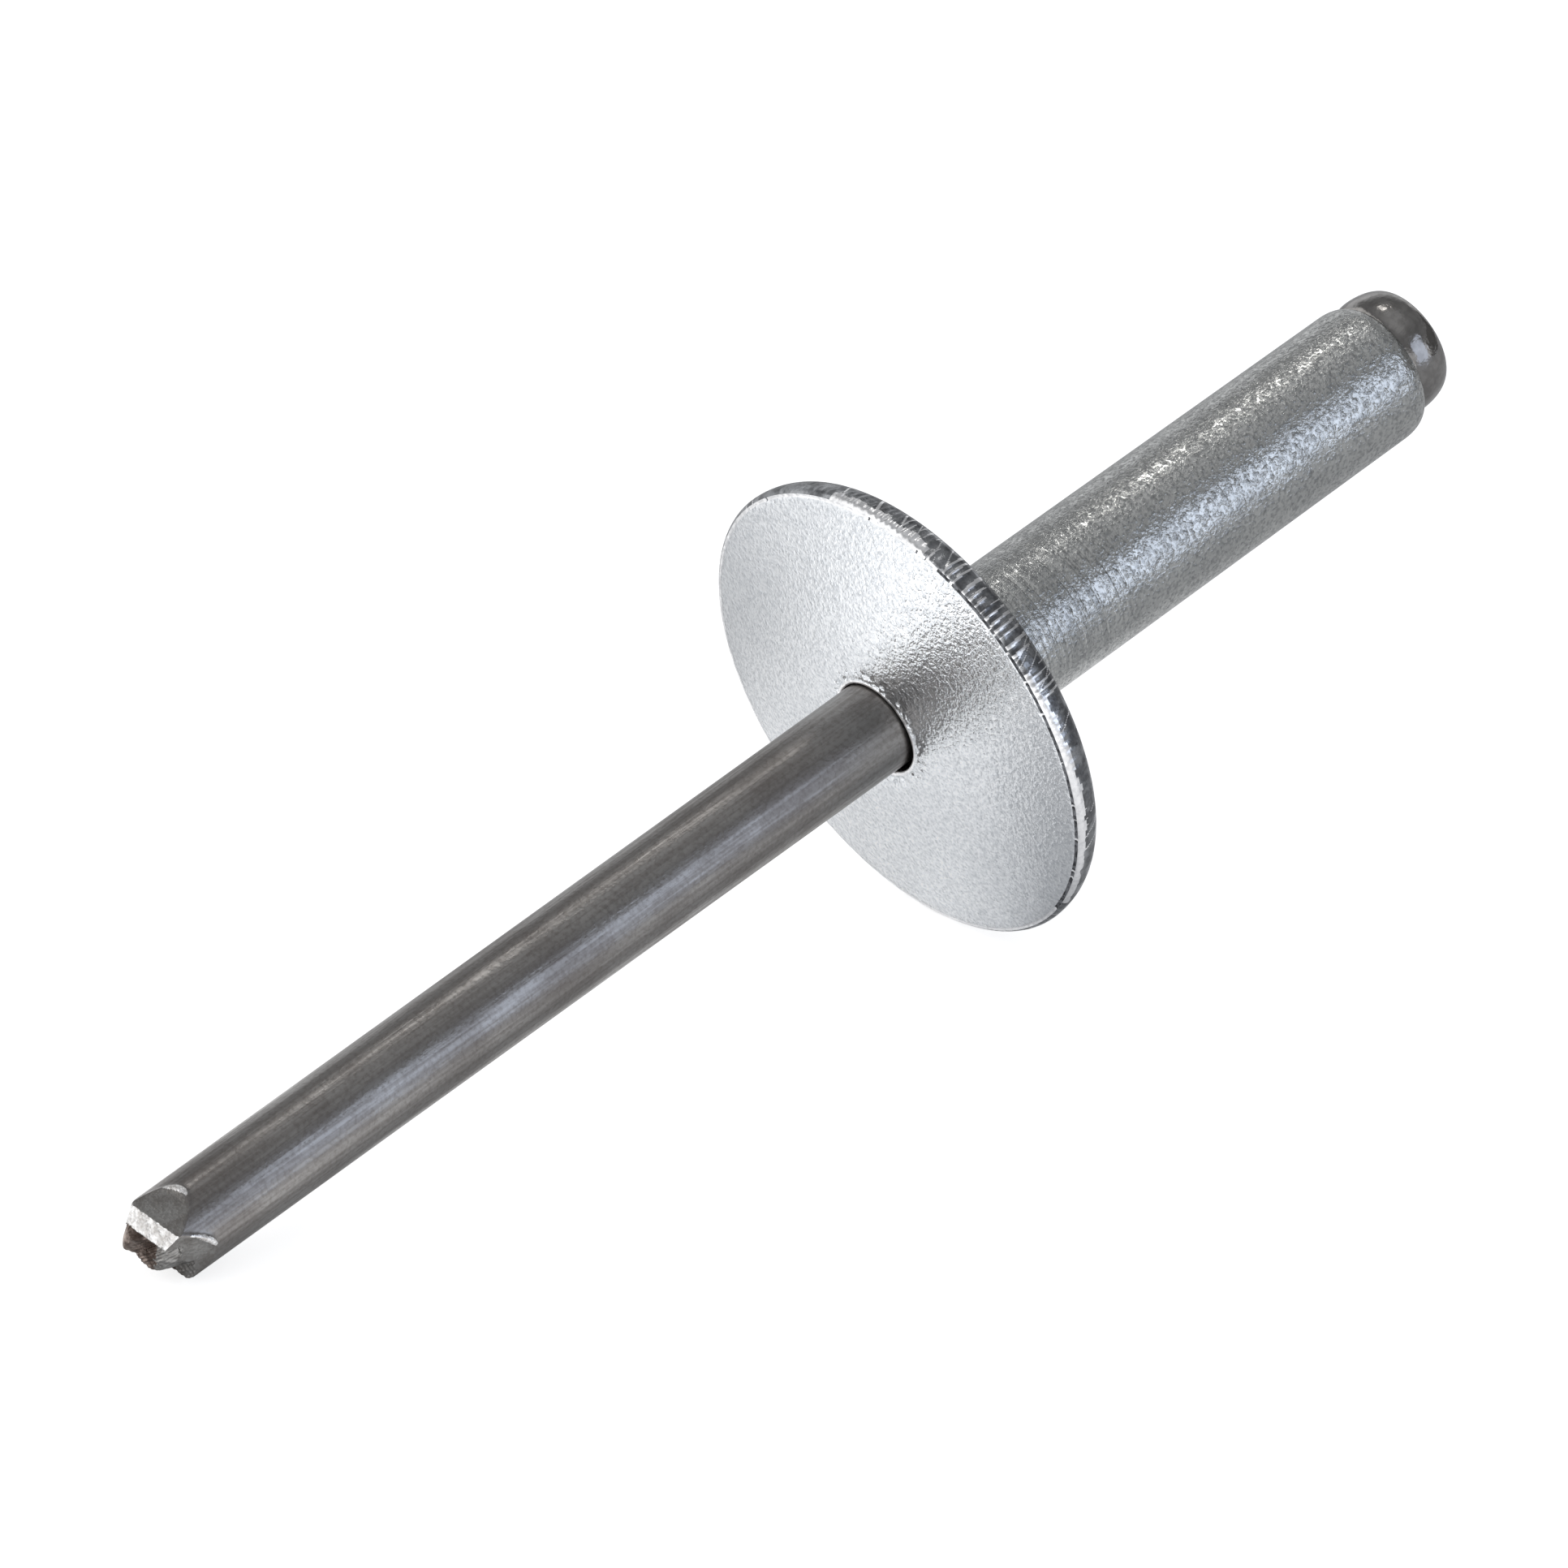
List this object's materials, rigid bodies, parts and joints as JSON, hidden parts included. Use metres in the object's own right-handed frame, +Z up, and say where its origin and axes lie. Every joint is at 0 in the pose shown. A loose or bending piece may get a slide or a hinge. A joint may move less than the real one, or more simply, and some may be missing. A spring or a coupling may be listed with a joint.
{
  "type": "blind rivet",
  "caption": "Open-end blind rivet, not yet set: hollow aluminium shank with a wide domed flange, on a steel mandrel with a button head and a pinched tip.",
  "frame": {"origin": "middle of the bounding box on the ground, as the rivet lies on its flange rim and its wire tip", "axes": "+X along the length, towards the raised blind end; +Y across; +Z up. The rivet's own axis leans 11.8 degrees up from +X in the XZ plane"},
  "size_m": [0.0549, 0.016, 0.0157],
  "materials": {
    "body_aluminium": "cold-formed: frosted fine-grain face, polished rim with forming wrinkles, barrelled and lightly scratched shank",
    "mandrel_steel": "dark drawn wire with long draw lines, smooth upset head, bright torn metal at the tip"
  },
  "bodies": {
    "root": {"rivet_body": "body_aluminium", "mandrel": "mandrel_steel"}
  },
  "joints": []
}
